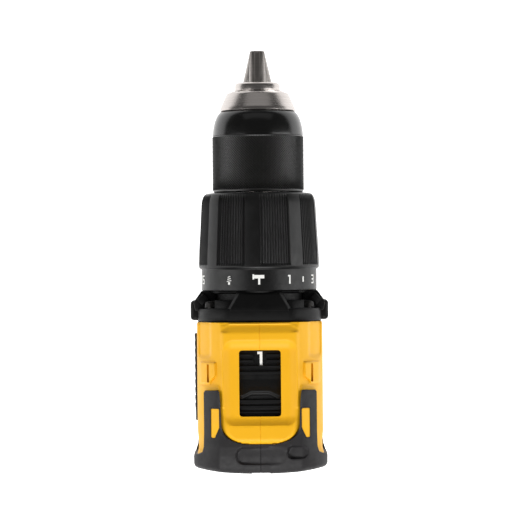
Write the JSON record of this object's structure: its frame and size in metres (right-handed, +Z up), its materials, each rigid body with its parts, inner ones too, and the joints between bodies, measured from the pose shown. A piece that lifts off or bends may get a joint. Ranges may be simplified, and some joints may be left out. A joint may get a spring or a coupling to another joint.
{
  "type": "cordless hammer drill",
  "caption": "Compact pistol-grip cordless drill with keyless chuck, numbered clutch collar, sliding speed selector and slide-on battery pack.",
  "frame": {"origin": "centre of the bounding box's bottom, on the surface that the battery pack stands on", "axes": "+Y forward along the spindle, +X to the user's right, +Z up"},
  "size_m": [0.057, 0.1746, 0.1997],
  "materials": {
    "housing_nylon": "fine matt yellow moulding",
    "rubber": "matt charcoal overmould",
    "black_nylon": "satin black moulding",
    "gloss_nylon": "gloss black moulding",
    "steel": "bright turned steel",
    "dark_steel": "blackened steel",
    "copper": "enamelled copper",
    "board": "green solder mask",
    "lens": "clear lens",
    "cell_sleeve": "shrink sleeve"
  },
  "bodies": {
    "tool": {"housing_left": "housing_nylon", "housing_right": "housing_nylon", "overmould_left": "rubber", "overmould_right": "rubber", "gear_case": "black_nylon", "gear_case_screw_1": "dark_steel", "gear_case_screw_2": "dark_steel", "gear_case_screw_3": "dark_steel", "gear_case_screw_4": "dark_steel", "housing_screw_1": "dark_steel", "housing_screw_2": "dark_steel", "housing_screw_3": "dark_steel", "housing_screw_4": "dark_steel", "housing_screw_5": "dark_steel", "side_badge": "black_nylon", "switch_module": "black_nylon", "control_board": "board", "led_lens": "lens", "tool_terminals": "copper", "motor_stator": "copper", "motor_mount_plate": "black_nylon", "motor_rear_bearing": "steel", "motor_front_bearing": "steel", "clutch_spring": "steel", "spindle_bearing": "steel", "ring_gear_2": "steel", "fixed_ratchet": "dark_steel"},
    "shifter": {"speed_selector": "black_nylon", "shift_wire": "steel", "ring_gear_1": "steel"},
    "collar": {"clutch_collar": "black_nylon"},
    "nut": {"clutch_nut": "black_nylon"},
    "trigger": {"trigger": "black_nylon"},
    "direction": {"direction_button": "black_nylon"},
    "rotor": {"rotor": "dark_steel", "fan": "black_nylon"},
    "carrier_1": {"carrier_1": "steel"},
    "planet_1a": {"planet_1a": "steel"},
    "planet_1b": {"planet_1b": "steel"},
    "planet_1c": {"planet_1c": "steel"},
    "spindle": {"spindle": "steel", "carrier_2": "steel", "chuck_body": "steel", "chuck_nose": "steel"},
    "planet_2a": {"planet_2a": "steel"},
    "planet_2b": {"planet_2b": "steel"},
    "planet_2c": {"planet_2c": "steel"},
    "sleeve": {"chuck_sleeve": "gloss_nylon", "chuck_nut": "dark_steel"},
    "jaw_1": {"jaw_1": "steel"},
    "jaw_2": {"jaw_2": "steel"},
    "jaw_3": {"jaw_3": "steel"},
    "pack": {"pack_case": "black_nylon", "pack_cover": "black_nylon", "cell_1": "cell_sleeve", "cell_2": "cell_sleeve", "cell_3": "cell_sleeve", "cell_4": "cell_sleeve", "pack_board": "board"},
    "latch": {"latch_button": "black_nylon"}
  },
  "joints": [
    {"name": "spindle_spin", "type": "hinge", "parent": "tool", "child": "spindle", "pos_m": [0, 0, 0.17], "axis": [0, 1, 0], "continuous": true},
    {"name": "carrier_1_spin", "type": "hinge", "parent": "tool", "child": "carrier_1", "pos_m": [0, -0.025, 0.17], "axis": [0, 1, 0], "continuous": true},
    {"name": "rotor_spin", "type": "hinge", "parent": "tool", "child": "rotor", "pos_m": [0, -0.055, 0.17], "axis": [0, 1, 0], "continuous": true},
    {"name": "planet_1a_spin", "type": "hinge", "parent": "carrier_1", "child": "planet_1a", "pos_m": [0, -0.0287, 0.18125], "axis": [0, 1, 0], "continuous": true},
    {"name": "planet_1b_spin", "type": "hinge", "parent": "carrier_1", "child": "planet_1b", "pos_m": [-0.00974, -0.0287, 0.16437], "axis": [0, 1, 0], "continuous": true},
    {"name": "planet_1c_spin", "type": "hinge", "parent": "carrier_1", "child": "planet_1c", "pos_m": [0.00974, -0.0287, 0.16437], "axis": [0, 1, 0], "continuous": true},
    {"name": "planet_2a_spin", "type": "hinge", "parent": "spindle", "child": "planet_2a", "pos_m": [0, -0.0156, 0.18013], "axis": [0, 1, 0], "continuous": true},
    {"name": "planet_2b_spin", "type": "hinge", "parent": "spindle", "child": "planet_2b", "pos_m": [-0.00877, -0.0156, 0.16494], "axis": [0, 1, 0], "continuous": true},
    {"name": "planet_2c_spin", "type": "hinge", "parent": "spindle", "child": "planet_2c", "pos_m": [0.00877, -0.0156, 0.16494], "axis": [0, 1, 0], "continuous": true},
    {"name": "chuck_sleeve_turn", "type": "hinge", "parent": "spindle", "child": "sleeve", "pos_m": [0, 0.045, 0.17], "axis": [0, 1, 0], "range_deg": [0, 2160]},
    {"name": "jaw_1_slide", "type": "slide", "parent": "spindle", "child": "jaw_1", "axis": [0, -0.9659, 0.2588], "range_m": [0, 0.019]},
    {"name": "jaw_2_slide", "type": "slide", "parent": "spindle", "child": "jaw_2", "axis": [-0.2241, -0.9659, -0.1294], "range_m": [0, 0.019]},
    {"name": "jaw_3_slide", "type": "slide", "parent": "spindle", "child": "jaw_3", "axis": [0.2241, -0.9659, -0.1294], "range_m": [0, 0.019]},
    {"name": "clutch_collar_turn", "type": "hinge", "parent": "tool", "child": "collar", "pos_m": [0, 0.008, 0.17], "axis": [0, 1, 0], "range_deg": [-329, 0]},
    {"name": "clutch_nut_slide", "type": "slide", "parent": "collar", "child": "nut", "axis": [0, 1, 0], "range_m": [-0.0055, 0], "deforming": ["clutch_spring"]},
    {"name": "speed_select", "type": "slide", "parent": "tool", "child": "shifter", "axis": [0, 1, 0], "range_m": [0, 0.004]},
    {"name": "trigger_pull", "type": "slide", "parent": "tool", "child": "trigger", "axis": [0, -1, 0], "range_m": [0, 0.007], "stiffness_N_per_m": 1200, "springref_m": -0.004},
    {"name": "direction_shift", "type": "slide", "parent": "tool", "child": "direction", "axis": [1, 0, 0], "range_m": [-0.0035, 0.0035]},
    {"name": "pack_slide", "type": "slide", "parent": "tool", "child": "pack", "axis": [0, 1, 0], "range_m": [0, 0.075]},
    {"name": "latch_press", "type": "slide", "parent": "pack", "child": "latch", "axis": [0, 0, -1], "range_m": [0, 0.004], "stiffness_N_per_m": 800, "springref_m": -0.002}
  ],
  "couplings": [
    {"joint": "carrier_1_spin", "follows": "spindle_spin", "ratio": 6},
    {"joint": "rotor_spin", "follows": "spindle_spin", "ratio": 24},
    {"joint": "planet_1a_spin", "follows": "spindle_spin", "ratio": -18},
    {"joint": "planet_1b_spin", "follows": "spindle_spin", "ratio": -18},
    {"joint": "planet_1c_spin", "follows": "spindle_spin", "ratio": -18},
    {"joint": "planet_2a_spin", "follows": "spindle_spin", "ratio": -2.5},
    {"joint": "planet_2b_spin", "follows": "spindle_spin", "ratio": -2.5},
    {"joint": "planet_2c_spin", "follows": "spindle_spin", "ratio": -2.5},
    {"joint": "jaw_1_slide", "follows": "chuck_sleeve_turn", "m_per_rad": 0.000503},
    {"joint": "jaw_2_slide", "follows": "chuck_sleeve_turn", "m_per_rad": 0.000503},
    {"joint": "jaw_3_slide", "follows": "chuck_sleeve_turn", "m_per_rad": 0.000503},
    {"joint": "clutch_nut_slide", "follows": "clutch_collar_turn", "m_per_rad": 0.000957}
  ]
}
